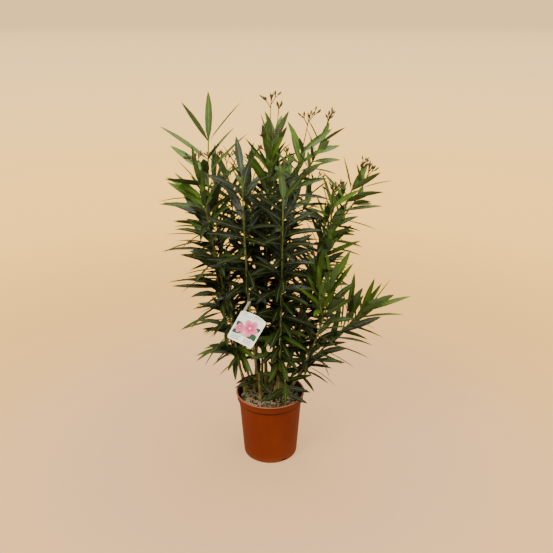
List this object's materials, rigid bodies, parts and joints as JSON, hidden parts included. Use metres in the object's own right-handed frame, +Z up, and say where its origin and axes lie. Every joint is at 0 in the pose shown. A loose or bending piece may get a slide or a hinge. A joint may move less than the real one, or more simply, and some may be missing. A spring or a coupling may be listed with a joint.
{
  "type": "potted oleander",
  "caption": "Leafy clump of upright oleander canes with lance-shaped leaves and flower buds, in a round tapered nursery pot with a hanging picture label.",
  "frame": {"origin": "centre of the pot's flat underside, on the surface that the pot stands on", "axes": "+Z up along the pot's axis; -Y towards the front, where the label hangs; +X to the right seen from the front"},
  "size_m": [0.7581, 0.6347, 1.1926],
  "materials": {
    "pot_plastic": "satin terracotta",
    "compost": "loose bark and fibre",
    "cane": "smooth young bark",
    "foliage": "leathery leaves",
    "label_card": "printed plastic card"
  },
  "bodies": {
    "root": {"pot": "pot_plastic", "soil": "compost", "label": "label_card", "cane_left_tall": "cane", "cane_far_left": "cane", "cane_left_inner": "cane", "cane_mid_left": "cane", "cane_centre_tall": "cane", "cane_centre_front": "cane", "cane_mid_right": "cane", "cane_right_inner": "cane", "cane_right_shoulder": "cane", "cane_right_low": "cane", "cane_far_right_low": "cane", "cane_front_left": "cane", "cane_front_right": "cane", "cane_right_mid": "cane", "cane_right_back": "cane", "cane_back_left": "cane", "cane_back_right": "cane", "cane_back_low": "cane", "cane_left_back": "cane", "cane_rim_shoot": "cane", "cane_left_shoot": "cane", "foliage_left_tall": "foliage", "foliage_far_left": "foliage", "foliage_left_inner": "foliage", "foliage_mid_left": "foliage", "foliage_centre_tall": "foliage", "foliage_centre_front": "foliage", "foliage_mid_right": "foliage", "foliage_right_inner": "foliage", "foliage_right_shoulder": "foliage", "foliage_right_low": "foliage", "foliage_far_right_low": "foliage", "foliage_front_left": "foliage", "foliage_front_right": "foliage", "foliage_right_mid": "foliage", "foliage_right_back": "foliage", "foliage_back_left": "foliage", "foliage_back_right": "foliage", "foliage_back_low": "foliage", "foliage_left_back": "foliage", "foliage_rim_shoot": "foliage", "foliage_left_shoot": "foliage"}
  },
  "joints": []
}
